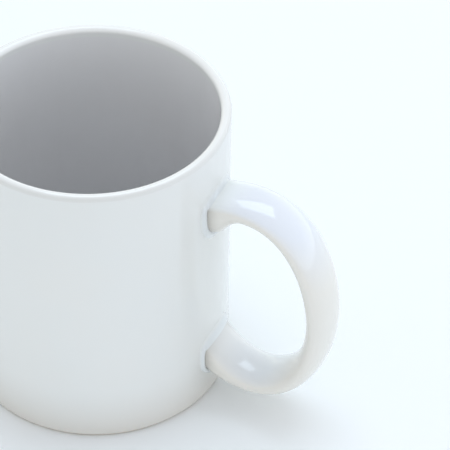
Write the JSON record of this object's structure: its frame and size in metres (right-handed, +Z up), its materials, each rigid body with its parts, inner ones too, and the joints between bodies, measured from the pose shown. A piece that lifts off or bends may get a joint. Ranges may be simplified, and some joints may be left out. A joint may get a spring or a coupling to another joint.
{
  "type": "ceramic mug",
  "caption": "Straight-sided glazed ceramic mug with a rounded lip, a bare foot ring and a C-shaped handle with flared roots set in beads of slip.",
  "frame": {"origin": "middle of the whole mug's footprint, handle included, on the plane that the foot ring stands on", "axes": "+Z up through the open mouth, parallel to the cup's axis; +X from the cup towards the handle; the handle lies in the XZ plane"},
  "size_m": [0.1208, 0.082, 0.096],
  "materials": {
    "clay": "matte",
    "luting_slip": "gloss",
    "liner_glaze": "gloss",
    "outer_glaze": "polished"
  },
  "bodies": {
    "root": {"cup_body": "clay", "handle": "clay", "upper_luting_bead": "luting_slip", "lower_luting_bead": "luting_slip", "liner_glaze": "liner_glaze", "outer_glaze": "outer_glaze", "base_glaze": "outer_glaze", "handle_glaze": "outer_glaze"}
  },
  "joints": []
}
